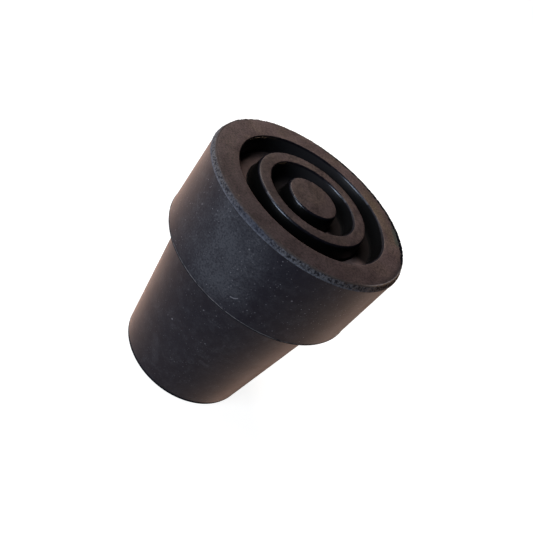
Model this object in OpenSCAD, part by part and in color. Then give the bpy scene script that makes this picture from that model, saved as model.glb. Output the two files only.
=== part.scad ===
// Rubber cane tip: one solid moulding that pushes onto the foot of a cane or crutch.
// It stands on the rim of its socket, as it would on a shelf, with the ringed tread
// that meets the ground facing up. The origin is the centre of the socket's mouth.
// All sizes are in millimetres.

/* [Head] */
// Widest diameter of the head, over the lower edge of the trimmed band
head_d = 40; // [39.5:0.5:60]
// Height of the head, from its shoulder to the tread
head_h = 16.6; // [6:0.1:34]
// Diameter of the head at the shoulder
shoulder_d = 39.1; // [37:0.1:60]
// Radius on the edge of the shoulder
shoulder_edge = 0.35; // [0.1:0.05:1]
// Height of the trimmed band round the tread, where the mould halves parted
band_h = 1.05; // [0.3:0.05:3]
// How far the band leans inwards from its lower edge up to the tread
band_lean = 0.5; // [0.1:0.05:1.5]
// How far the lower edge of the band stands proud of the side below it
band_lip = 0.12; // [0.05:0.01:0.3]

/* [Tread] */
// Diameter of the round boss in the middle of the tread
boss_d = 9.9; // [4:0.1:14]
// Width of the groove between the boss and the ring
inner_groove_w = 3.7; // [2.5:0.1:6]
// Width of the ring between the two grooves
ring_w = 2.55; // [1.2:0.05:5]
// Width of the groove between the ring and the rim
outer_groove_w = 3.8; // [2.5:0.1:6]
// Depth of both grooves, from the rim down to their flat floors
groove_depth = 3.25; // [1:0.05:8]
// Lean of the groove walls, which lets the moulding leave its tool
groove_draft = 10; // [0:0.5:12]
// Radius on the top edges of the rim, the ring and the boss
tread_edge = 0.4; // [0.1:0.05:0.55]
// Radius where the groove walls meet their floors
floor_fillet = 0.45; // [0.1:0.05:0.6]
// How far the ring lies below the rim
ring_drop = 0.2; // [0:0.05:0.4]
// How far the boss lies below the rim
boss_drop = 0.25; // [0:0.05:0.4]

/* [Sleeve] */
// Height of the whole tip, from the mouth of the sleeve to the tread
total_h = 45.9; // [38:0.1:80]
// Diameter of the sleeve where it meets the shoulder
sleeve_top_d = 33.8; // [27:0.1:36]
// Outside diameter of the sleeve at its mouth
mouth_d = 27; // [24:0.1:36]
// Radius on the outer edge of the mouth
mouth_edge = 0.5; // [0.1:0.05:1]
// Radius where the sleeve runs into the underside of the shoulder
shoulder_fillet = 0.8; // [0.1:0.05:1.2]

/* [Socket] */
// Diameter of the cane shaft that the socket holds
shaft_d = 19; // [12:0.1:21.5]
// How much narrower than the shaft the socket is, so that the rubber grips it
squeeze = 0.4; // [0:0.05:1]
// Depth of the socket, from the mouth to its blind end
socket_depth = 30; // [15:0.5:34]
// Width and height of the lead-in chamfer at the mouth
lead_in = 0.8; // [0.2:0.05:1]
// Radius round the blind end of the socket
socket_end_fillet = 1; // [0.2:0.1:3]

/* [Hidden] */
$fn = 96;
rubber_black = [0.15, 0.135, 0.13];

shoulder_z = total_h - head_h;
band_z = total_h - band_h;
floor_z = total_h - groove_depth;
ring_z = total_h - ring_drop;
boss_z = total_h - boss_drop;

head_r = head_d / 2;
shoulder_r = shoulder_d / 2;
rim_outer_r = head_r - band_lean;
sleeve_top_r = sleeve_top_d / 2;
mouth_r = mouth_d / 2;
socket_r = (shaft_d - squeeze) / 2;

boss_r = boss_d / 2;
ring_inner_r = boss_r + inner_groove_w;
ring_outer_r = ring_inner_r + ring_w;
rim_inner_r = ring_outer_r + outer_groove_w;

// Each rounded corner's circle is this much larger than its radius, so that it meets
// both of its straight sides in one clean line
overrun = 0.0003;

// Radial distance that a groove wall leans over between its top edge and the floor
function wall_lean(top_z) = (top_z - floor_z) * tan(groove_draft);

// A corner of an outline is [x, y, radius]. These give the place of a corner, the
// directions from it to its neighbours, and the angle between those directions.
function place(corner) = [corner.x, corner.y];
function heading(from, to) = (place(to) - place(from)) / norm(place(to) - place(from));
function back_way(c, i) = heading(c[i], c[(i + len(c) - 1) % len(c)]);
function next_way(c, i) = heading(c[i], c[(i + 1) % len(c)]);
function corner_angle(c, i) = acos(back_way(c, i) * next_way(c, i));
function is_outer(c, i) = cross(next_way(c, i), back_way(c, i)) > 0;

// Where the arc of a corner starts and ends, and where its centre lies
function arc_ends(c, i) =
    let (reach = c[i][2] / tan(corner_angle(c, i) / 2))
    [place(c[i]) + reach * back_way(c, i), place(c[i]) + reach * next_way(c, i)];
function arc_centre(c, i) =
    let (middle = back_way(c, i) + next_way(c, i))
    place(c[i]) + middle / norm(middle) * c[i][2] / sin(corner_angle(c, i) / 2);

module corner_circle(c, i) {
    translate(arc_centre(c, i)) circle(r = c[i][2] + overrun);
}

// The outline through the corners, listed anticlockwise, each rounded by its own radius
module rounded_outline(c) {
    every = [for (i = [0:len(c) - 1]) i];
    outer = [for (i = every) if (c[i][2] > 0 && is_outer(c, i)) i];
    inner = [for (i = every) if (c[i][2] > 0 && !is_outer(c, i)) i];
    difference() {
        union() {
            polygon([for (i = every) each c[i][2] > 0 ? arc_ends(c, i) : [place(c[i])]]);
            for (i = outer) corner_circle(c, i);
        }
        for (i = inner) corner_circle(c, i);
    }
}

// Blind socket, from its closed end on the axis down to the lead-in at the mouth
socket_corners = [
    [0, socket_depth, 0],
    [socket_r, socket_depth, socket_end_fillet],
    [socket_r, lead_in, 0],
    [socket_r + lead_in, 0, 0]
];

// Outside of the tapered sleeve, from its mouth up into the shoulder
sleeve_corners = [
    [mouth_r, 0, mouth_edge],
    [sleeve_top_r, shoulder_z, shoulder_fillet]
];

// Outside of the head, from the shoulder up over the trimmed band
head_corners = [
    [shoulder_r, shoulder_z, shoulder_edge],
    [head_r - band_lip, band_z, 0],
    [head_r, band_z, 0],
    [rim_outer_r, total_h, 0]
];

// Tread, from the inner edge of the rim across both grooves to the middle of the boss
tread_corners = [
    [rim_inner_r, total_h, tread_edge],
    [rim_inner_r - wall_lean(total_h), floor_z, floor_fillet],
    [ring_outer_r + wall_lean(ring_z), floor_z, floor_fillet],
    [ring_outer_r, ring_z, tread_edge],
    [ring_inner_r, ring_z, tread_edge],
    [ring_inner_r - wall_lean(ring_z), floor_z, floor_fillet],
    [boss_r + wall_lean(boss_z), floor_z, floor_fillet],
    [boss_r, boss_z, tread_edge],
    [0, boss_z, 0]
];

module cane_tip() {
    color(rubber_black)
    rotate_extrude()
    rounded_outline(concat(socket_corners, sleeve_corners, head_corners, tread_corners));
}

cane_tip();
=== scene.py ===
"""Rubber cane tip: the finished look of one black rubber moulding, standing on its sleeve.

Everything is in metres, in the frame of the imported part: +Z runs up the axis of the tip,
from the mouth of the socket to the ringed tread.
"""

import math

import bpy
from mathutils import Matrix, Vector


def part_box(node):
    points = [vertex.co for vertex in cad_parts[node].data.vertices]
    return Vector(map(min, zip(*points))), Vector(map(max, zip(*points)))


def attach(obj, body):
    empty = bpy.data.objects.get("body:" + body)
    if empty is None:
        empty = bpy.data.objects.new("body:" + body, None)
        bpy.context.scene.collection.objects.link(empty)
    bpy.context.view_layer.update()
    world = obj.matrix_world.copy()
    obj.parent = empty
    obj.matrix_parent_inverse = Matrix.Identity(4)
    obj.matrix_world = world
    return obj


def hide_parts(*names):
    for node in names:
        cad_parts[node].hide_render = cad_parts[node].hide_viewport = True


MM = 0.001

# ---------------------------------------------------------------- sizes of the moulding

# In millimetres. The whole height and the head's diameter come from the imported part.
SIZES = {
    "Head height": 16.6,
    "Shoulder diameter": 39.1,
    "Shoulder edge": 0.35,
    "Shoulder flash": 0.1,
    "Band height": 1.05,
    "Band lean": 0.5,
    "Band lip": 0.12,
    "Boss diameter": 9.9,
    "Inner groove": 3.7,
    "Ring width": 2.55,
    "Outer groove": 3.8,
    "Groove depth": 3.25,
    "Tread edge": 0.4,
    "Floor fillet": 0.45,
    "Ring drop": 0.2,
    "Boss drop": 0.25,
    "Sleeve top diameter": 33.8,
    "Mouth diameter": 27.0,
    "Mouth edge": 0.5,
    "Shoulder fillet": 0.8,
    "Socket diameter": 18.6,
    "Socket depth": 30.0,
    "Lead-in": 0.8,
    "Socket end fillet": 1.0,
    "Torn edge": 0.08,
    "Band grit": 0.08,
    "Waviness": 0.03,
}
# How far the walls of the grooves lean from upright.
GROOVE_DRAFT = math.radians(10)
# Steps in one turn round the axis and in each rounding, and the circle that carries the profile.
TURN_STEPS = 720
ARC_STEPS = 4
RAIL_R = 10 * MM
SHARP_ANGLE = math.radians(35)

# A hair's breadth. The limits of zones lie a few hairs off the faces, so that none is in doubt.
HAIR = 0.01 * MM
# How far up the sleeve its standing edge is painted dark as shade, as a multiple of the edge's
# rounding.
DARK_FOOT_SHARE = 1.8
# How far inside the rim's outer edge the tread's finishes end, and how much further where frayed.
TREAD_INSET = 0.18 * MM
FRAY = 0.7 * MM
# How far below the top of the tread its flats and its rounded edges reach.
TREAD_DEPTH = 0.6 * MM
# A face of the tread counts as a flat where the upward part of its direction is above the first
# of these, as worn on the rim's rounding above the second, and as a rounded edge above the last.
FLAT_UP = 0.94
RIM_UP = 0.75
EDGE_UP = 0.3

# ---------------------------------------------------------------------- camera and studio

# The camera looks at the tip from the front and above, rolled so that the tip lies aslant.
CAMERA_PLACE = Vector((0.0, -102.05, 95.57)) * MM
CAMERA_AIM = Vector((1.5, 0.0, 28.56)) * MM
CAMERA_ROLL = math.radians(40.6)
CAMERA_LENS_MM = 44.27
CAMERA_SENSOR_MM = 36.0

# What the lamps aim at, how far away they stand, the sizes of their faces and their colours.
LAMP_AIM = Vector((0, 0, 25)) * MM
LAMP_REACH = 0.6
SOFT_BOX = (0.27, 0.27)
WIDE_BOX = (0.5, 0.5)
SMALL_LAMP = (0.06, 0.06)
LOW_STRIP = (0.36, 0.06)
DAYLIGHT = (0.80, 0.90, 1.0)
PALE = (0.95, 0.97, 1.0)
WARM = (1.0, 0.88, 0.80)
AMBER = (1.0, 0.67, 0.43)
# The dim even light of the room.
ROOM_LIGHT = 0.005

PAPER_COLOUR = (0.35, 0.35, 0.35, 1)
# How bright the paper looks by itself, near the tip and far from it, where no shadow falls, and
# how far from the axis near ends and far starts.
NEAR_GLOW = 0.9
FAR_GLOW = 1.0
NEAR_REACH = 70 * MM
FAR_REACH = 130 * MM
# How the paper shows in the rubber's gloss, and how far it reaches each way.
PAPER_SHINE = (0.60, 0.468, 0.396, 1)
FLOOR_REACH = 3.0
# The paper lies this far under the sleeve's rim, so that the two faces are never in one plane.
FLOOR_GAP = 0.01 * MM


def make_camera():
    data = bpy.data.cameras.new("camera")
    data.lens = CAMERA_LENS_MM
    data.sensor_width = CAMERA_SENSOR_MM
    data.clip_start = 5 * MM
    data.clip_end = 20
    camera = bpy.data.objects.new("camera", data)
    bpy.context.scene.collection.objects.link(camera)
    turn = (CAMERA_AIM - CAMERA_PLACE).to_track_quat("-Z", "Y").to_matrix().to_4x4()
    roll = Matrix.Rotation(CAMERA_ROLL, 4, "Z")
    camera.matrix_world = Matrix.Translation(CAMERA_PLACE) @ turn @ roll
    bpy.context.scene.camera = camera


def make_lamp(name, turn, height, size, watts, colour):
    """A lamp at LAMP_REACH from the tip: turn is its direction from +X, height its angle up."""
    data = bpy.data.lights.new(name, "AREA")
    data.shape = "RECTANGLE"
    data.size, data.size_y = size
    data.energy = watts
    data.color = colour
    lamp = bpy.data.objects.new(name, data)
    bpy.context.scene.collection.objects.link(lamp)
    turn = math.radians(turn)
    height = math.radians(height)
    flat = math.cos(height)
    away = Vector((flat * math.cos(turn), flat * math.sin(turn), math.sin(height)))
    place = LAMP_AIM + away * LAMP_REACH
    lamp.matrix_world = Matrix.Translation(place) @ away.to_track_quat("Z", "Y").to_matrix().to_4x4()
    lamp.visible_camera = False


def make_lamps():
    """A window and a small lamp in front, two boxes above and two low strips for the sides."""
    make_lamp("window", turn=240, height=18, size=SOFT_BOX, watts=2.76, colour=DAYLIGHT)
    make_lamp("left box", turn=180, height=45, size=WIDE_BOX, watts=1.82, colour=PALE)
    make_lamp("front lamp", turn=236, height=47, size=SMALL_LAMP, watts=0.17, colour=DAYLIGHT)
    make_lamp("back box", turn=135, height=45, size=SOFT_BOX, watts=1.59, colour=WARM)
    make_lamp("back strip", turn=150, height=1, size=LOW_STRIP, watts=2.58, colour=WARM)
    make_lamp("right strip", turn=30, height=1, size=LOW_STRIP, watts=2.0, colour=AMBER)


def make_floor():
    """Pale paper: white to the camera but for the tip's shadow, and a warm shine in the rubber."""
    material = bpy.data.materials.new("pale paper")
    material.use_nodes = True
    tree = material.node_tree
    tree.nodes.clear()
    paper = wire(tree, "ShaderNodeBsdfDiffuse", {"Color": PAPER_COLOUR})
    path = add(tree, "ShaderNodeLightPath")
    seen = Wire(tree, path.outputs["Is Camera Ray"])
    away, _, _, _ = polar(tree, object_place(tree))
    level = ramp(tree, away, NEAR_REACH, FAR_REACH, NEAR_GLOW, FAR_GLOW)
    glow = wire(tree, "ShaderNodeEmission", {"Strength": seen * level})
    mirrored = Wire(tree, path.outputs["Is Glossy Ray"])
    shine = wire(tree, "ShaderNodeEmission", {"Color": PAPER_SHINE, "Strength": mirrored})
    paper = wire(tree, "ShaderNodeAddShader", {0: paper, 1: glow})
    paper = wire(tree, "ShaderNodeAddShader", {0: paper, 1: shine})
    add(tree, "ShaderNodeOutputMaterial", {"Surface": paper})

    mesh = bpy.data.meshes.new("floor")
    corners = [(-1, -1), (1, -1), (1, 1), (-1, 1)]
    corners = [(x * FLOOR_REACH, y * FLOOR_REACH, -FLOOR_GAP) for x, y in corners]
    mesh.from_pydata(corners, [], [(0, 1, 2, 3)])
    mesh.materials.append(material)
    floor = bpy.data.objects.new("floor", mesh)
    bpy.context.scene.collection.objects.link(floor)


def make_world():
    """White to the camera, and a dim even light to everything else."""
    world = bpy.data.worlds.new("studio")
    world.use_nodes = True
    tree = world.node_tree
    tree.nodes.clear()
    path = add(tree, "ShaderNodeLightPath")
    dim = wire(tree, "ShaderNodeBackground", {"Strength": ROOM_LIGHT})
    white = wire(tree, "ShaderNodeBackground", {"Color": (1, 1, 1, 1), "Strength": 1.0})
    seen = Wire(tree, path.outputs["Is Camera Ray"])
    both = wire(tree, "ShaderNodeMixShader", {"Fac": seen, 1: dim, 2: white})
    add(tree, "ShaderNodeOutputWorld", {"Surface": both})
    bpy.context.scene.world = world


# ------------------------------------------------------------------------- node helpers


class Wire:
    """One output in a node tree. Plain sums on wires add Math nodes."""

    def __init__(self, tree, socket):
        self.tree = tree
        self.socket = socket

    def __add__(self, other):
        return maths(self.tree, "ADD", self, other)

    def __radd__(self, other):
        return maths(self.tree, "ADD", other, self)

    def __sub__(self, other):
        return maths(self.tree, "SUBTRACT", self, other)

    def __rsub__(self, other):
        return maths(self.tree, "SUBTRACT", other, self)

    def __mul__(self, other):
        return maths(self.tree, "MULTIPLY", self, other)

    def __rmul__(self, other):
        return maths(self.tree, "MULTIPLY", other, self)

    def __truediv__(self, other):
        return maths(self.tree, "DIVIDE", self, other)


def add(tree, kind, inputs=None, **settings):
    """A new node. Its inputs are given by name or number, each as a wire or a plain value."""
    node = tree.nodes.new(kind)
    for name, value in settings.items():
        setattr(node, name, value)
    for name, value in (inputs or {}).items():
        if isinstance(value, Wire):
            tree.links.new(value.socket, node.inputs[name])
        else:
            node.inputs[name].default_value = value
    return node


def wire(tree, kind, inputs=None, output=0, **settings):
    """A new node's output, its first one unless another is named."""
    return Wire(tree, add(tree, kind, inputs, **settings).outputs[output])


def maths(tree, operation, *values):
    return wire(tree, "ShaderNodeMath", dict(enumerate(values)), operation=operation)


def above(tree, value, limit):
    """1 where the value is above the limit, and 0 elsewhere."""
    return maths(tree, "GREATER_THAN", value, limit)


def below(tree, value, limit):
    """1 where the value is below the limit, and 0 elsewhere."""
    return maths(tree, "LESS_THAN", value, limit)


def least(tree, first, second):
    return maths(tree, "MINIMUM", first, second)


def most(tree, first, second):
    return maths(tree, "MAXIMUM", first, second)


def ramp(tree, value, start, end, low=0.0, high=1.0):
    """Runs smoothly from low, where the value is at start, to high, where it is at end."""
    inputs = {"Value": value, "From Min": start, "From Max": end, "To Min": low, "To Max": high}
    return wire(tree, "ShaderNodeMapRange", inputs, interpolation_type="SMOOTHSTEP")


def noise(tree, place, grain, seed, detail=2.0, roughness=0.5):
    """Soft noise round 0.5, with features of about one grain, in metres."""
    inputs = {
        "Vector": place,
        "W": seed,
        "Scale": 1 / grain,
        "Detail": detail,
        "Roughness": roughness,
    }
    return wire(tree, "ShaderNodeTexNoise", inputs, noise_dimensions="4D")


def gap(tree, here, there):
    """Distance between two places."""
    return wire(tree, "ShaderNodeVectorMath", {0: here, 1: there}, "Value", operation="DISTANCE")


def along(tree, vector, direction):
    """How far a vector reaches in a direction."""
    inputs = {0: vector, 1: direction}
    return wire(tree, "ShaderNodeVectorMath", inputs, "Value", operation="DOT_PRODUCT")


def polar(tree, place):
    """Distance from the tip's axis, height above the mouth of the socket, and X and Y."""
    parts = add(tree, "ShaderNodeSeparateXYZ", {"Vector": place})
    x, y, height = (Wire(tree, socket) for socket in parts.outputs)
    return maths(tree, "SQRT", x * x + y * y), height, x, y


# ----------------------------------------------------------------- shape of the moulding


def profile_corners(size):
    """Corners of the half section, from the blind end of the socket round to the boss.

    Each is (distance from the axis, height, rounding, longest step of the run after it).
    """
    total_h = size["Overall height"]
    shoulder_z = total_h - size["Head height"]
    band_z = total_h - size["Band height"]
    floor_z = total_h - size["Groove depth"]
    ring_z = total_h - size["Ring drop"]
    boss_z = total_h - size["Boss drop"]
    head_r = size["Head diameter"] / 2
    side_r = head_r - size["Band lip"]
    shoulder_r = size["Shoulder diameter"] / 2
    rim_outer_r = head_r - size["Band lean"]
    socket_r = size["Socket diameter"] / 2
    boss_r = size["Boss diameter"] / 2
    ring_inner_r = boss_r + size["Inner groove"]
    ring_outer_r = ring_inner_r + size["Ring width"]
    rim_inner_r = ring_outer_r + size["Outer groove"]
    flash = size["Shoulder flash"]
    edge = size["Tread edge"]
    fillet = size["Floor fillet"]
    lean = math.tan(GROOVE_DRAFT)
    rim_lean = size["Groove depth"] * lean
    ring_lean = (size["Groove depth"] - size["Ring drop"]) * lean
    boss_lean = (size["Groove depth"] - size["Boss drop"]) * lean
    socket = [
        (0.0, size["Socket depth"], 0.0, 4 * MM),
        (socket_r, size["Socket depth"], size["Socket end fillet"], 8 * MM),
        (socket_r, size["Lead-in"], 0.0, 2 * MM),
        (socket_r + size["Lead-in"], 0.0, 0.0, 2 * MM),
    ]
    mouth_r = size["Mouth diameter"] / 2
    sleeve_r = size["Sleeve top diameter"] / 2
    dark_foot_z = size["Mouth edge"] * DARK_FOOT_SHARE
    sleeve = [
        (mouth_r, 0.0, size["Mouth edge"], 1 * MM),
        (mouth_r + (sleeve_r - mouth_r) * dark_foot_z / shoulder_z, dark_foot_z, 0.0, 3 * MM),
        (sleeve_r, shoulder_z, size["Shoulder fillet"], 1.5 * MM),
    ]
    head = [
        (shoulder_r, shoulder_z, size["Shoulder edge"], 1 * MM),
        (shoulder_r + flash * 0.1, shoulder_z + 4 * flash, 0.0, 1 * MM),
        (shoulder_r + flash, shoulder_z + 5 * flash, 0.0, 1 * MM),
        (shoulder_r + flash * 0.3, shoulder_z + 6 * flash, 0.0, 2 * MM),
        (side_r, band_z, 0.0, 0.07 * MM),
        (head_r, band_z, 0.0, 0.13 * MM),
        (rim_outer_r, total_h, 0.0, 0.2 * MM),
        (rim_outer_r - 1.0 * MM, total_h, 0.0, 1.3 * MM),
    ]
    tread = [
        (rim_inner_r, total_h, edge, 1.6 * MM),
        (rim_inner_r - rim_lean, floor_z, fillet, 1.6 * MM),
        (ring_outer_r + ring_lean, floor_z, fillet, 1.6 * MM),
        (ring_outer_r, ring_z, edge, 0.9 * MM),
        (ring_inner_r, ring_z, edge, 1.6 * MM),
        (ring_inner_r - ring_lean, floor_z, fillet, 1.6 * MM),
        (boss_r + boss_lean, floor_z, fillet, 1.6 * MM),
        (boss_r, boss_z, edge, 1.2 * MM),
        (0.0, boss_z, 0.0, 1 * MM),
    ]
    return socket + sleeve + head + tread


def by_index(tree, data_type, choices):
    """For each point of the profile, the choice with the same number."""
    node = add(tree, "GeometryNodeIndexSwitch", data_type=data_type)
    while len(node.index_switch_items) < len(choices):
        node.index_switch_items.new()
    tree.links.new(wire(tree, "GeometryNodeInputIndex").socket, node.inputs["Index"])
    for number, choice in enumerate(choices):
        socket = node.inputs[number + 1]
        if isinstance(choice, Wire):
            tree.links.new(choice.socket, socket)
        else:
            socket.default_value = choice
    return Wire(tree, node.outputs[0])


def keep(tree, geometry, name, value):
    """Keeps a number at each point of the geometry."""
    inputs = {"Geometry": geometry, "Name": name, "Value": value}
    return wire(
        tree, "GeometryNodeStoreNamedAttribute", inputs, data_type="FLOAT", domain="POINT"
    )


def kept(tree, name):
    return wire(tree, "GeometryNodeInputNamedAttribute", {"Name": name}, data_type="FLOAT")


def profile_curve(tree, corners):
    """The half section as a fine curve. Its X is the distance from the axis less RAIL_R."""
    points = []
    for radius, height, _, _ in corners:
        inputs = {"X": radius - RAIL_R, "Y": 0.0 - height}
        points.append(wire(tree, "ShaderNodeCombineXYZ", inputs))
    line = wire(tree, "GeometryNodeMeshLine", {"Count": len(corners)})
    place = by_index(tree, "VECTOR", points)
    line = wire(tree, "GeometryNodeSetPosition", {"Geometry": line, "Position": place})
    line = keep(tree, line, "rounding", by_index(tree, "FLOAT", [c[2] for c in corners]))
    line = keep(tree, line, "longest step", by_index(tree, "FLOAT", [c[3] for c in corners]))
    curve = wire(tree, "GeometryNodeMeshToCurve", {"Mesh": line})
    inputs = {
        "Curve": curve,
        "Count": ARC_STEPS,
        "Radius": kept(tree, "rounding"),
        "Limit Radius": True,
    }
    curve = wire(tree, "GeometryNodeFilletCurve", inputs, mode="POLY")
    here = wire(tree, "GeometryNodeInputPosition")
    inputs = {"Value": here, "Index": wire(tree, "GeometryNodeInputIndex") + 1}
    there = wire(
        tree, "GeometryNodeFieldAtIndex", inputs, data_type="FLOAT_VECTOR", domain="POINT"
    )
    cuts = maths(tree, "FLOOR", gap(tree, here, there) / kept(tree, "longest step"))
    return wire(tree, "GeometryNodeSubdivideCurve", {"Curve": curve, "Cuts": cuts})


def turned(tree, profile):
    """The profile turned once round the axis, with its two ends closed at the axis."""
    inputs = {"Resolution": TURN_STEPS, "Radius": RAIL_R}
    rail = wire(tree, "GeometryNodeCurvePrimitiveCircle", inputs)
    inputs = {"Curve": rail, "Profile Curve": profile}
    mesh = wire(tree, "GeometryNodeCurveToMesh", inputs)
    mesh = wire(tree, "GeometryNodeFlipFaces", {"Mesh": mesh})
    radius, _, _, _ = polar(tree, wire(tree, "GeometryNodeInputPosition"))
    inputs = {"Geometry": mesh, "Selection": below(tree, radius, HAIR), "Distance": 2 * HAIR}
    return wire(tree, "GeometryNodeMergeByDistance", inputs)


def sharp_corners(tree, mesh):
    """Marks the edges of the plain turned shape that aren't rounded as sharp."""
    angle = wire(tree, "GeometryNodeInputMeshEdgeAngle")
    inputs = {"Geometry": mesh, "Shade Smooth": below(tree, angle, SHARP_ANGLE)}
    return wire(tree, "GeometryNodeSetShadeSmooth", inputs, domain="EDGE")


def torn_and_wavy(tree, mesh, size):
    """Roughens the trimmed band round the tread's rim, and takes the lathe-true look off."""
    place = wire(tree, "GeometryNodeInputPosition")
    radius, height, x, y = polar(tree, place)
    total_h = size["Overall height"]
    head_r = size["Head diameter"] / 2
    band_z = total_h - size["Band height"]
    rim_outer_r = head_r - size["Band lean"]
    side_r = head_r - size["Band lip"]
    past_lip = most(tree, height - band_z, radius - side_r)
    outside = ramp(tree, radius, rim_outer_r - 0.45 * MM, rim_outer_r)
    on_band = above(tree, past_lip, 2 * HAIR) * outside
    near_top = ramp(tree, height, band_z + 0.2 * MM, total_h)
    tear = noise(tree, place, 0.9 * MM, seed=1, detail=3.0, roughness=0.6)
    grit = noise(tree, place, 0.45 * MM, seed=2, detail=1.0)
    swell = noise(tree, place, 9 * MM, seed=3, detail=1.0)
    torn = on_band * near_top * ramp(tree, tear, 0.4, 0.75) * size["Torn edge"]
    rough = on_band * ramp(tree, grit, 0.25, 0.75) * size["Band grit"]
    inwards = torn + rough + (1.0 - on_band) * swell * size["Waviness"]
    downwards = torn * 0.4 + rough * 0.5
    safe_radius = most(tree, radius, 1 * MM)
    inputs = {
        "X": 0.0 - x / safe_radius * inwards,
        "Y": 0.0 - y / safe_radius * inwards,
        "Z": 0.0 - downwards,
    }
    offset = wire(tree, "ShaderNodeCombineXYZ", inputs)
    return wire(tree, "GeometryNodeSetPosition", {"Geometry": mesh, "Offset": offset})


def paint(tree, mesh, material, faces):
    """Gives the material to the faces where the wire says more than a half."""
    inputs = {
        "Geometry": mesh,
        "Material": material,
        "Selection": above(tree, faces, 0.5),
    }
    return wire(tree, "GeometryNodeSetMaterial", inputs)


def finished(tree, mesh, size, rubber):
    """Gives each zone its finish.

    The outside is bloomed, and the grooves and the socket are clean. The tread's flats are
    worn. Its rounded edges are polished where they face the front, clean on the left of the
    rim, and rubbed elsewhere. The trimmed band and the flash are torn, and the sleeve's foot
    takes the torn finish, dark with painted shade.
    """
    place = wire(tree, "GeometryNodeInputPosition")
    radius, height, x, _ = polar(tree, place)
    normal = wire(tree, "GeometryNodeInputNormal")
    total_h = size["Overall height"]
    shoulder_z = total_h - size["Head height"]
    above_floor = above(tree, height, total_h - size["Groove depth"] - 5 * HAIR)

    # The tread's outer edge, which is frayed at the back, where the torn finish reaches further in
    # and carries the painted shade of the far edge.
    ragged = ramp(tree, noise(tree, place, 0.8 * MM, seed=4, detail=2.0), 0.25, 0.6)
    frayed = ramp(tree, along(tree, place, SHADED_EDGE_SIDE), 8 * MM, 16 * MM) * ragged
    tread_r = size["Head diameter"] / 2 - size["Band lean"] - TREAD_INSET
    within_tread = below(tree, radius + frayed * FRAY, tread_r)
    tread = within_tread * above_floor
    on_top = above(tree, height, total_h - TREAD_DEPTH)
    on_rim = above(tree, radius, tread_r - size["Outer groove"])

    # The tread's flats and its rounded edges, by how far up their faces look.
    upward = along(tree, normal, (0, 0, 1))
    level = wire(tree, "ShaderNodeVectorMath", {0: normal, 1: (1, 1, 0)}, operation="MULTIPLY")
    level = wire(tree, "ShaderNodeVectorMath", {0: level}, operation="NORMALIZE")
    front_edge = above(tree, along(tree, level, RUBBED_SIDE), RUBBED_SHARE)
    flat = above(tree, upward + on_rim * (1.0 - front_edge) * (FLAT_UP - RIM_UP), FLAT_UP)
    edges = tread * on_top * above(tree, upward, EDGE_UP)
    rim_left = on_rim * below(tree, x, -1 * MM)

    # The inside of the socket and the torn places.
    socket_r = size["Socket diameter"] / 2 + size["Lead-in"] + 2 * HAIR
    in_socket = below(tree, radius, socket_r) - above_floor
    # The sleeve's foot: dark along its standing edge as painted shade.
    foot = below(tree, height, size["Mouth edge"] * DARK_FOOT_SHARE)
    foot_r = size["Mouth diameter"] / 2 - size["Mouth edge"] * 0.6
    band = above(tree, height, total_h - size["Band height"] - HAIR) - within_tread
    flash_top = shoulder_z + size["Shoulder flash"] * 6.2
    shoulder_r = size["Shoulder diameter"] / 2 - size["Shoulder edge"] * 0.7
    flash = above(tree, height, shoulder_z - HAIR) * below(tree, height, flash_top)
    flash = flash * above(tree, radius, shoulder_r)
    torn = most(tree, most(tree, band, flash), foot * above(tree, radius, foot_r))

    mesh = wire(tree, "GeometryNodeSetMaterial", {"Geometry": mesh, "Material": rubber["bloomed"]})
    mesh = paint(tree, mesh, rubber["clean"], most(tree, most(tree, tread, in_socket), foot))
    mesh = paint(tree, mesh, rubber["rubbed"], edges - rim_left)
    mesh = paint(tree, mesh, rubber["polished"], edges * front_edge)
    mesh = paint(tree, mesh, rubber["worn"], tread * on_top * flat)
    return paint(tree, mesh, rubber["torn"], torn)


def moulding_tree(sizes, rubber):
    """The node tree that makes the moulding, with one named input for each of its sizes."""
    tree = bpy.data.node_groups.new("turned moulding", "GeometryNodeTree")
    tree.interface.new_socket("Geometry", in_out="INPUT", socket_type="NodeSocketGeometry")
    for name in sizes:
        socket = tree.interface.new_socket(name, in_out="INPUT", socket_type="NodeSocketFloat")
        socket.subtype = "DISTANCE"
    tree.interface.new_socket("Geometry", in_out="OUTPUT", socket_type="NodeSocketGeometry")
    entry = tree.nodes.new("NodeGroupInput")
    size = {name: Wire(tree, entry.outputs[name]) for name in sizes}
    mesh = turned(tree, profile_curve(tree, profile_corners(size)))
    mesh = sharp_corners(tree, mesh)
    mesh = torn_and_wavy(tree, mesh, size)
    mesh = wire(tree, "GeometryNodeRealizeInstances", {"Geometry": mesh})
    add(tree, "NodeGroupOutput", {0: finished(tree, mesh, size, rubber)})
    return tree


def make_moulding(sizes, rubber):
    """The rubber moulding, as a plain mesh."""
    tree = moulding_tree(sizes, rubber)
    blank = bpy.data.objects.new("blank", bpy.data.meshes.new("blank"))
    bpy.context.scene.collection.objects.link(blank)
    turning = blank.modifiers.new("turning", "NODES")
    turning.node_group = tree
    for item in tree.interface.items_tree:
        if item.in_out == "INPUT" and item.name in sizes:
            turning[item.identifier] = sizes[item.name]
    shading = blank.modifiers.new("even shading", "WEIGHTED_NORMAL")
    shading.keep_sharp = True
    evaluated = blank.evaluated_get(bpy.context.evaluated_depsgraph_get())
    mesh = bpy.data.meshes.new_from_object(evaluated)
    bpy.data.objects.remove(blank)
    piece = bpy.data.objects.new("rubber_moulding", mesh)
    bpy.context.scene.collection.objects.link(piece)
    return piece


# ----------------------------------------------------------------------- rubber finishes

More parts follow.
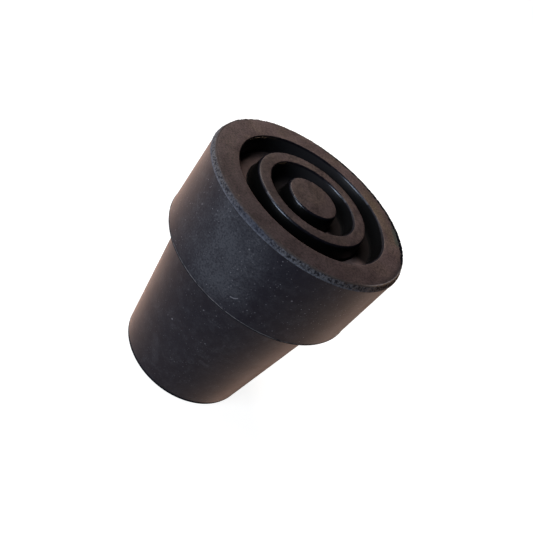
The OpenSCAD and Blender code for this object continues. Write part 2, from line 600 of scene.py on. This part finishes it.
# Pale specks on the side: direction from +X in degrees, height and width in millimetres.
SIDE_SPECKS = [
    (-97, 41.8, 0.42), (-94.5, 41.2, 0.26), (-93, 34.4, 0.32), (-95.5, 37.6, 0.36),
    (-82, 33.4, 0.28), (-80, 32.5, 0.34), (-76.5, 33.0, 0.30), (-81, 31.8, 0.28),
    (-79, 38.8, 0.26), (-67, 38.6, 0.44), (-58, 32.9, 0.34), (-130.5, 39.6, 0.40),
    (-82.5, 44.0, 0.36), (-110.5, 16.6, 0.50), (-115, 16.3, 0.30), (-97, 24.2, 0.40),
    (-89, 25.2, 0.34), (-83, 18.0, 0.40),
]
# Clusters of fine crumbs on the side, in the same terms as the specks.
CRUMB_CLUSTERS = [
    (-92, 17.0, 6.5), (-83, 16.2, 4.0), (-80, 26.2, 3.5), (-115, 36.5, 5.0), (-118, 43.0, 4.0),
]
# Small dark pits, in the same terms.
SIDE_PITS = [(-84.7, 1.0, 0.9), (-52.8, 8.9, 0.45)]
# Lines on the side, as the directions and heights of their points: a bent fibre, a scuff, a smear
# and the run of heavy bluish bloom down the head, which also carries a painted highlight from the
# window. The last is the middle of the thinner bloom and painted highlight round it.
FIBRE = [(-90.1, 32.7), (-88.4, 32.85), (-87.0, 33.3)]
SCUFF = [(-77, 13.3), (-71.5, 13.0)]
SMEAR = [(-113, 9.5), (-104, 5.5)]
BLOOM_AND_HIGHLIGHT_RUN = [(-109, 45), (-101, 41), (-98, 34.5)]
BLOOM_AND_HIGHLIGHT_MIDDLE = (-115, 37)
# Specks on the tread: direction from +X in degrees, distance from the axis and width.
TREAD_SPECKS = [
    (-118.5, 18.6, 0.45), (-97, 17.8, 0.35), (-1, 3.1, 0.35), (-88, 18.9, 0.3), (-75.5, 17.3, 0.25),
]

# Colours on the moulded side: bare rubber, the bloom where it lies heaviest, with the painted
# highlight on it, its warm sheen, dust, and the painted shade in the pits and under the band's lip.
BLUE_BLACK = (0.0012, 0.0026, 0.0094, 1)
BLOOM_AND_HIGHLIGHT_GREY = (0.0430, 0.0460, 0.0570, 1)
BLOOM_SHEEN = (1.0, 0.68, 0.55)
SIDE_DUST = (0.13, 0.13, 0.15, 1)
DARKEST = (0.0015, 0.0015, 0.0015, 1)
# On the tread's flats: floor dust at the front, and at the back where painted sheen lightens it,
# where it is trodden in and where it is smudged, the rim's inner corner, rubbed and with a painted
# highlight, the two kinds of painted shade along the rim's outer edge, and pale specks.
BLACK = (0.0, 0.0, 0.0, 1)
FRONT_BROWN = (0.055, 0.034, 0.0355, 1)
BACK_DUST_AND_SHEEN = (0.147, 0.094, 0.088, 1)
TAN = (0.175, 0.120, 0.078, 1)
SMUDGE_GREY = (0.075, 0.082, 0.066, 1)
RUBBED_CORNER_HIGHLIGHT = (0.11, 0.078, 0.070, 1)
RIM_EDGE_SHADE = (0.008, 0.008, 0.010, 1)
RIM_BORDER_SHADE = (0.004, 0.004, 0.006, 1)
PALE_BROWN = (0.16, 0.12, 0.09, 1)
# On its rounded edges: bare, under a thin film, and the tint of their gloss.
EDGE_BLACK = (0.002, 0.002, 0.004, 1)
EDGE_FILM = (0.010, 0.009, 0.012, 1)
EDGE_SHINE = (0.82, 0.86, 1.0)
# In the grooves, with painted light on their far walls and at their floors' ends, and in the socket.
GROOVE_BLACK = (0.002, 0.002, 0.002, 1)
FAR_WALL_LIGHT = (0.018, 0.017, 0.019, 1)
GROOVE_DUST_AND_LIGHT = (0.280, 0.195, 0.180, 1)
SOCKET_DARK = (0.016, 0.016, 0.018, 1)
SOCKET_PALE = (0.042, 0.039, 0.040, 1)
# In the torn places, each as the colour between the crumbs and the colour on them.
BROKEN = (0.012, 0.011, 0.013, 1), (0.104, 0.102, 0.115, 1)
DIM_BROKEN = (0.020, 0.019, 0.023, 1), (0.105, 0.100, 0.110, 1)
SMOOTH = (0.022, 0.0235, 0.034, 1), (0.052, 0.056, 0.078, 1)
CHALKY = (0.028, 0.026, 0.030, 1), (0.096, 0.091, 0.096, 1)
# The flash: its dark colour also darkens the sleeve's foot as painted shade, and its pale lumps are
# partly pale rubber and partly a painted highlight on the flash's ridge.
FLASH = (0.018, 0.018, 0.022, 1), (0.125, 0.120, 0.128, 1)
# The band's lip, and its top edge where it is whole, where it is lighter to the right, and where it
# is dark with painted shade.
LIP_GREY = (0.10, 0.105, 0.13, 1)
BAND_EDGE = (0.060, 0.048, 0.046, 1)
PALE_RIGHT_EDGE = (0.190, 0.165, 0.160, 1)
BAND_EDGE_SHADE = (0.006, 0.006, 0.009, 1)

# The side of the rim, as a direction from the axis, where painted shade darkens its outer edge.
SHADED_SIDE = (0.94, 0.34, 0)
# The side of the rim whose very edge is painted black as shade, and where the tread's outer edge is
# frayed.
SHADED_EDGE_SIDE = (0.57, 0.82, 0)
# The way that the most polished edges of the tread face, and how nearly they face it.
RUBBED_SIDE = (-0.26, -0.966, 0)
RUBBED_SHARE = 0.94


def make_rubber(name, roughness, gloss, sheen=0.0, tint=(1, 1, 1), shine=(1, 1, 1)):
    """A material with the values that are the same all over it, its tree and its shader."""
    material = bpy.data.materials.new(name)
    material.use_nodes = True
    tree = material.node_tree
    tree.nodes.clear()
    shader = tree.nodes.new("ShaderNodeBsdfPrincipled")
    shader.inputs["Roughness"].default_value = roughness
    shader.inputs["Specular IOR Level"].default_value = gloss
    shader.inputs["Specular Tint"].default_value = (*shine, 1)
    shader.inputs["Sheen Weight"].default_value = sheen
    shader.inputs["Sheen Roughness"].default_value = 0.3
    shader.inputs["Sheen Tint"].default_value = (*tint, 1)
    add(tree, "ShaderNodeOutputMaterial", {"Surface": Wire(tree, shader.outputs[0])})
    return material, tree, shader


def finish(tree, shader, colour, roughness, bumps, depth):
    """Joins the patterns to the shader. The bumps are heights from 0 to 1 times the depth."""
    inputs = {"Height": bumps, "Distance": depth, "Strength": 1.0}
    tilted = wire(tree, "ShaderNodeBump", inputs)
    for name, value in {"Base Color": colour, "Roughness": roughness, "Normal": tilted}.items():
        tree.links.new(value.socket, shader.inputs[name])


def object_place(tree):
    return Wire(tree, add(tree, "ShaderNodeTexCoord").outputs["Object"])


def blend(tree, share, first, second):
    """The first colour where the share is 0, and the second where it is 1."""
    return wire(tree, "ShaderNodeMix", {0: share, 6: first, 7: second}, 2, data_type="RGBA")


def round_spot(tree, place, centre, width, core=0.3):
    """1 in the middle of a round spot, and 0 beyond it."""
    return ramp(tree, gap(tree, place, centre), width / 2, width / 2 * core)


def streak(tree, place, start, end, width):
    """1 along a line, and 0 beyond its width."""
    run = end - start
    past_start = wire(tree, "ShaderNodeVectorMath", {0: place, 1: start}, operation="SUBTRACT")
    share = along(tree, past_start, run / run.length_squared)
    share = most(tree, least(tree, share, 1.0), 0.0)
    nearest = wire(tree, "ShaderNodeVectorMath", {0: run, "Scale": share}, operation="SCALE")
    return ramp(tree, gap(tree, past_start, nearest), width / 2, width / 6)


def specks(tree, place, spacing, width, share):
    """Round dots of mixed widths, in about this share of cells that are one spacing wide."""
    cell = add(tree, "ShaderNodeTexVoronoi", {"Vector": place, "Scale": 1 / spacing})
    chance = add(tree, "ShaderNodeSeparateColor", {"Color": Wire(tree, cell.outputs["Color"])})
    reach = (0.3 + Wire(tree, chance.outputs["Green"]) * 0.7) * width / 2
    dot = ramp(tree, Wire(tree, cell.outputs["Distance"]) * spacing, reach, reach * 0.3)
    return dot * below(tree, Wire(tree, chance.outputs["Red"]), share)


def on_side(sizes, turn, height):
    """A place on the side of the head or the sleeve. Its height is in millimetres."""
    height = height * MM
    shoulder_z = sizes["Overall height"] - sizes["Head height"]
    if height > shoulder_z:
        share = (height - shoulder_z) / (sizes["Head height"] - sizes["Band height"])
        low, high = sizes["Shoulder diameter"], sizes["Head diameter"] - 2 * sizes["Band lip"]
    else:
        share = height / shoulder_z
        low, high = sizes["Mouth diameter"], sizes["Sleeve top diameter"]
    radius = (low + (high - low) * share) / 2
    turn = math.radians(turn)
    return Vector((radius * math.cos(turn), radius * math.sin(turn), height))


def on_tread(sizes, turn, radius):
    """A place on top of the tread. Its distance from the axis is in millimetres."""
    turn = math.radians(turn)
    top = sizes["Overall height"]
    return Vector((radius * MM * math.cos(turn), radius * MM * math.sin(turn), top))


def side_line(tree, place, sizes, points, width):
    """1 along a line on the side through the points, and 0 beyond its width."""
    points = [on_side(sizes, turn, height) for turn, height in points]
    line = 0.0
    for start, end in zip(points, points[1:]):
        line = most(tree, line, streak(tree, place, start, end, width))
    return line


def side_marks(tree, place, sizes):
    """The listed specks, a bent fibre, a scuff, a smear and clusters of crumbs."""
    marks = 0.0
    for turn, height, width in SIDE_SPECKS:
        spot = round_spot(tree, place, on_side(sizes, turn, height), width * MM)
        marks = most(tree, marks, spot * min(1.0, width * 2))
    marks = most(tree, marks, side_line(tree, place, sizes, FIBRE, 0.32 * MM) * 0.9)
    cloudy = noise(tree, place, 0.7 * MM, seed=14, detail=3.0)
    scuff = side_line(tree, place, sizes, SCUFF, 1.2 * MM)
    marks = most(tree, marks, scuff * cloudy * 0.2)
    smear = side_line(tree, place, sizes, SMEAR, 2.6 * MM)
    marks = most(tree, marks, smear * cloudy * 0.12)
    crumbs = specks(tree, place, 0.6 * MM, 0.42 * MM, 0.6)
    for turn, height, width in CRUMB_CLUSTERS:
        cluster = round_spot(tree, place, on_side(sizes, turn, height), width * MM)
        marks = most(tree, marks, cluster * (0.06 + crumbs) * cloudy * 0.5)
    return marks


def bloomed_rubber(sizes):
    """Moulded rubber under a thin grey bloom, which is bluish where it lies thickest, with a painted
    highlight from the window there.
    """
    material, tree, shader = make_rubber("bloomed rubber", 0.5, 0.15, 0.7, BLOOM_SHEEN)
    place = object_place(tree)
    _, height, _, _ = polar(tree, place)
    band_z = sizes["Overall height"] - sizes["Band height"]
    clouds = ramp(tree, noise(tree, place, 5 * MM, seed=11, detail=3.0), 0.3, 0.7)
    # A bluish patch down the head: heavier bloom, with a painted highlight from the window.
    bloom_highlight_run = side_line(tree, place, sizes, BLOOM_AND_HIGHLIGHT_RUN, 14 * MM)
    bloom_and_highlight_surround = round_spot(tree, place, on_side(sizes, *BLOOM_AND_HIGHLIGHT_MIDDLE), 24 * MM, 0.2)
    bloom_and_highlight_patch = bloom_highlight_run * 0.5 + bloom_and_highlight_surround * 0.28
    grain = noise(tree, place, 0.32 * MM, seed=12, detail=2.0, roughness=0.6)
    stains = ramp(tree, noise(tree, place, 1.7 * MM, seed=16, detail=3.0, roughness=0.6), 0.4, 0.65)
    tide = noise(tree, place, 6 * MM, seed=17, detail=2.0)
    tide_lines = ramp(tree, maths(tree, "ABSOLUTE", tide - 0.5), 0.035, 0.0)
    thin_bloom = clouds * 0.08 + stains * 0.15 + tide_lines * stains * 0.12
    mottled = 0.48 + ramp(tree, grain, 0.3, 0.7) * 1.04
    bloom = (thin_bloom + bloom_and_highlight_patch * (0.6 + clouds * 0.5)) * mottled
    colour = blend(tree, bloom, BLUE_BLACK, BLOOM_AND_HIGHLIGHT_GREY)
    crowded = ramp(tree, noise(tree, place, 3.5 * MM, seed=15, detail=2.0), 0.4, 0.62)
    dust = specks(tree, place, 0.8 * MM, 0.36 * MM, 0.4) * crowded * 0.4
    head = ramp(tree, height, band_z - 17 * MM, band_z - 15 * MM)
    fine_dust = specks(tree, place, 0.5 * MM, 0.28 * MM, 0.65) * (0.19 + crowded * 0.35)
    fine_dust = fine_dust * (1.0 + head * 1.4)
    pale = most(tree, dust, fine_dust)
    pale = most(tree, pale, side_marks(tree, place, sizes))
    colour = blend(tree, pale, colour, SIDE_DUST)
    ragged = noise(tree, place, 0.5 * MM, seed=13)
    under_lip = ramp(tree, height + ragged * 0.3 * MM, band_z - 0.1 * MM, band_z + 0.1 * MM)
    colour = blend(tree, under_lip * 0.9, colour, DARKEST)
    for turn, height_mm, width in SIDE_PITS:
        pit = round_spot(tree, place, on_side(sizes, turn, height_mm), width * MM)
        colour = blend(tree, pit * 0.8, colour, DARKEST)
    roughness = 0.5 + (clouds - grain) * 0.08
    finish(tree, shader, colour, roughness, grain, 0.012 * MM)
    return material


def worn_rubber(sizes):
    """The tread's flats: scuffed, with brown floor dust rubbed in, lighter towards the back with
    painted sheen.
    """
    material, tree, shader = make_rubber("worn rubber", 0.5, 0.45)
    place = object_place(tree)
    radius, _, _, y = polar(tree, place)
    smears = ramp(tree, noise(tree, place, 3 * MM, seed=21, detail=4.0, roughness=0.6), 0.3, 0.7)
    grain = noise(tree, place, 0.34 * MM, seed=22, detail=2.0, roughness=0.55)
    grain = ramp(tree, grain, 0.25, 0.75)
    rim_edge = sizes["Boss diameter"] / 2 + sizes["Inner groove"] + sizes["Ring width"]
    rim_edge = rim_edge + sizes["Outer groove"]
    rim = above(tree, radius, rim_edge)
    # Lighter towards the back: brown dust, with painted sheen where the flats are seen at a grazing
    # angle.
    back_sheen_and_dust = wire(tree, "ShaderNodeMapRange", {"Value": y, "From Min": -18 * MM, "From Max": 8 * MM})
    colour = blend(tree, back_sheen_and_dust, FRONT_BROWN, BACK_DUST_AND_SHEEN)
    patches = ramp(tree, noise(tree, place, 4 * MM, seed=23, detail=2.0), 0.4, 0.65)
    trodden = streak(tree, place, on_tread(sizes, 64, 17.2), on_tread(sizes, 24, 17.4), 3.6 * MM)
    tan = patches * back_sheen_and_dust * 0.35 + trodden * 0.5
    colour = blend(tree, tan, colour, TAN)
    smudge = streak(tree, place, on_tread(sizes, 38, 18.7), on_tread(sizes, 22, 18.4), 1.8 * MM)
    colour = blend(tree, smudge * smears, colour, SMUDGE_GREY)
    level = (0.45 + rim * 0.17) * (1.0 + (smears - 0.5) * 0.4 + (grain - 0.5) * 1.4)
    colour = blend(tree, level, BLACK, colour)
    # Lighter along the rim's inner corner: rubbed wear, with a painted highlight.
    rubbed = ramp(tree, radius, rim_edge + 0.45 * MM, rim_edge + 0.15 * MM) * rim
    colour = blend(tree, rubbed * 0.6, colour, RUBBED_CORNER_HIGHLIGHT)
    tread_edge = sizes["Head diameter"] / 2 - sizes["Band lean"]
    # Painted shade: darker towards the rim's outer edge on one side.
    shaded = ramp(tree, radius, tread_edge - 1.5 * MM, tread_edge)
    shaded = shaded * ramp(tree, along(tree, place, SHADED_SIDE), 9 * MM, 18 * MM)
    colour = blend(tree, shaded * 0.75, colour, RIM_EDGE_SHADE)
    # A thin dark border along the rim's far outer edge: painted shade.
    ragged = noise(tree, place, 0.6 * MM, seed=24, detail=2.0)
    border = radius + ragged * 0.6 * MM
    border = ramp(tree, border, tread_edge - 0.5 * MM, tread_edge - 0.1 * MM)
    border = border * ramp(tree, along(tree, place, SHADED_EDGE_SIDE), 9 * MM, 15 * MM)
    colour = blend(tree, border * 0.8, colour, RIM_BORDER_SHADE)
    pale = specks(tree, place, 1.3 * MM, 0.4 * MM, 0.3) * 0.15
    for turn, reach, width in TREAD_SPECKS:
        spot = round_spot(tree, place, on_tread(sizes, turn, reach), width * MM)
        pale = most(tree, pale, spot * width * 1.6)
    colour = blend(tree, pale, colour, PALE_BROWN)
    roughness = 0.45 + smears * 0.1
    finish(tree, shader, colour, roughness, grain, 0.012 * MM)
    return material


def rubbed_rubber(name, gloss):
    """The rounded edges of the rim, the ring or the boss, rubbed smoothest away from the right."""
    material, tree, shader = make_rubber(name, 0.3, gloss, shine=EDGE_SHINE)
    place = object_place(tree)
    radius, _, x, _ = polar(tree, place)
    film = noise(tree, place, 0.8 * MM, seed=51, detail=2.0)
    right = ramp(tree, x / radius, 0.8, 0.95)
    colour = blend(tree, film, EDGE_BLACK, EDGE_FILM)
    roughness = 0.24 + film * 0.08 + right * 0.3
    finish(tree, shader, colour, roughness, film, 0.004 * MM)
    return material


def clean_rubber(sizes):
    """Dark rubber that nothing rubs: the grooves, with a little brown dust on their floors, and
    painted light on their far walls and at their floors' left and front-right ends.

    The socket is plain, with faint rings.
    """
    material, tree, shader = make_rubber("clean rubber", 0.5, 0.07)
    place = object_place(tree)
    radius, height, x, y = polar(tree, place)
    floor_z = sizes["Overall height"] - sizes["Groove depth"]
    settled = ramp(tree, height, floor_z + 0.12 * MM, floor_z + 0.02 * MM)
    # The floors' left and front-right ends are lighter: brown dust, with painted light where light
    # reaches them.
    left = ramp(tree, x / radius, -0.7, -0.95) * ramp(tree, radius, 8 * MM, 12 * MM) * 0.4
    front_right = ramp(tree, (x - y) / radius, 1.0, 1.25)
    film = noise(tree, place, 1.2 * MM, seed=31, detail=3.0)
    dust = settled * (0.03 + most(tree, left, front_right) * 0.9) * (0.5 + film)
    # The far walls are lighter towards the back and the back-left: painted light.
    back = ramp(tree, y / radius, 0.0, 0.5)
    back_left = ramp(tree, (y - x * 0.6) / radius, 0.5, 1.1)
    far_wall_light = back * 0.12 + back_left * 0.8
    colour = blend(tree, far_wall_light, GROOVE_BLACK, FAR_WALL_LIGHT)
    colour = blend(tree, dust, colour, GROOVE_DUST_AND_LIGHT)
    socket = ramp(tree, height, floor_z - 5 * MM, floor_z - 7 * MM)
    upright = wire(tree, "ShaderNodeCombineXYZ", {"Z": height})
    rings = noise(tree, upright, 0.5 * MM, seed=32, detail=3.0, roughness=0.6)
    plain = blend(tree, film * 0.6 + rings * 0.4, SOCKET_DARK, SOCKET_PALE)
    colour = blend(tree, socket, colour, plain)
    corner = ramp(tree, height, floor_z + 0.7 * MM, floor_z + 0.4 * MM)
    roughness = 0.32 + film * 0.1 + corner * 0.5
    finish(tree, shader, colour, roughness, film, 0.01 * MM)
    return material


def torn_rubber(sizes):
    """The trimmed band: broken crumb on the right, and smoother to the left, then chalky.

    Also the flash round the shoulder, which is pale in lumps, partly pale rubber and partly a
    painted highlight on its ridge, and the sleeve's foot, dark with painted shade.
    """
    material, tree, shader = make_rubber("torn rubber", 0.7, 0.0)
    place = object_place(tree)
    radius, height, x, _ = polar(tree, place)
    crumb = noise(tree, place, 0.34 * MM, seed=41, detail=2.0, roughness=0.6)
    gritty = ramp(tree, x, -4 * MM, 3 * MM) * ramp(tree, x, 18 * MM, 12 * MM)
    far_right = ramp(tree, x, 9 * MM, 13 * MM)
    broken = blend(tree, ramp(tree, crumb, 0.36, 0.62), *BROKEN)
    smooth = blend(tree, ramp(tree, crumb, 0.3, 0.7), *SMOOTH)
    chalky = blend(tree, ramp(tree, crumb, 0.32, 0.64), *CHALKY)
    smooth = blend(tree, ramp(tree, x, -2 * MM, -15 * MM), smooth, chalky)
    colour = blend(tree, 0.15 + gritty * 0.75, smooth, broken)
    dim_broken = blend(tree, ramp(tree, crumb, 0.36, 0.62), *DIM_BROKEN)
    colour = blend(tree, far_right, colour, dim_broken)
    lip_z = sizes["Overall height"] - sizes["Band height"]
    lip = ramp(tree, height, lip_z + 0.3 * MM, lip_z + 0.1 * MM)
    colour = blend(tree, lip * crumb, colour, LIP_GREY)
    tread_edge = sizes["Head diameter"] / 2 - sizes["Band lean"]
    border = ramp(tree, radius, tread_edge + 0.08 * MM, tread_edge)
    border = border * ramp(tree, height, lip_z, lip_z + 0.6 * MM)
    # The band's top edge on the far side: painted shade.
    edge_shade = ramp(tree, along(tree, place, SHADED_EDGE_SIDE), 9 * MM, 13 * MM)
    # The band's top edge is paler towards the right.
    to_right = ramp(tree, x, 14 * MM, 17 * MM)
    edge_colour = blend(tree, to_right, BAND_EDGE, PALE_RIGHT_EDGE)
    edge_colour = blend(tree, edge_shade, edge_colour, BAND_EDGE_SHADE)
    colour = blend(tree, border, colour, edge_colour)
    # Pale lumps along the flash's crest: partly pale rubber, partly a painted highlight.
    lumps = ramp(tree, noise(tree, place, 1.1 * MM, seed=42, detail=3.0, roughness=0.65), 0.3, 0.62)
    flash_z = sizes["Overall height"] - sizes["Head height"] + sizes["Shoulder flash"] * 4.5
    crest = ramp(tree, maths(tree, "ABSOLUTE", height - flash_z), 0.16 * MM, 0.06 * MM)
    flash_line = blend(tree, lumps * crest, *FLASH)
    # Below the band the flash colours hold, so the sleeve's foot takes the dark one: painted shade.
    under_band = ramp(tree, height, lip_z - 1 * MM, lip_z - 2 * MM)
    colour = blend(tree, under_band, colour, flash_line)
    roughness = 0.6 + crumb * 0.2
    finish(tree, shader, colour, roughness, crumb, 0.05 * MM)
    return material


# --------------------------------------------------------------------------- putting it up

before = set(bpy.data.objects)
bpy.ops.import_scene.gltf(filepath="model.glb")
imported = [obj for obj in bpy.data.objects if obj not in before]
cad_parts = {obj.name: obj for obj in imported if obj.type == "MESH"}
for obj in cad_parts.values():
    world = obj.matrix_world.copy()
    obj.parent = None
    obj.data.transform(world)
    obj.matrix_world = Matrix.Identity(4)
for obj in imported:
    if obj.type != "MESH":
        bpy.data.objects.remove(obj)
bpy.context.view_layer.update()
bpy.context.scene.view_settings.view_transform = "Standard"
make_camera()
make_lamps()
make_world()
make_floor()

low_corner, high_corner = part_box("cane_tip")
sizes = {name: value * MM for name, value in SIZES.items()}
sizes["Overall height"] = high_corner[2]
sizes["Head diameter"] = high_corner[0] - low_corner[0]
rubber = {
    "bloomed": bloomed_rubber(sizes),
    "worn": worn_rubber(sizes),
    "clean": clean_rubber(sizes),
    "polished": rubbed_rubber("polished rubber", 0.5),
    "rubbed": rubbed_rubber("rubbed rubber", 0.1),
    "torn": torn_rubber(sizes),
}
moulding = make_moulding(sizes, rubber)
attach(moulding, "root")
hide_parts("cane_tip")
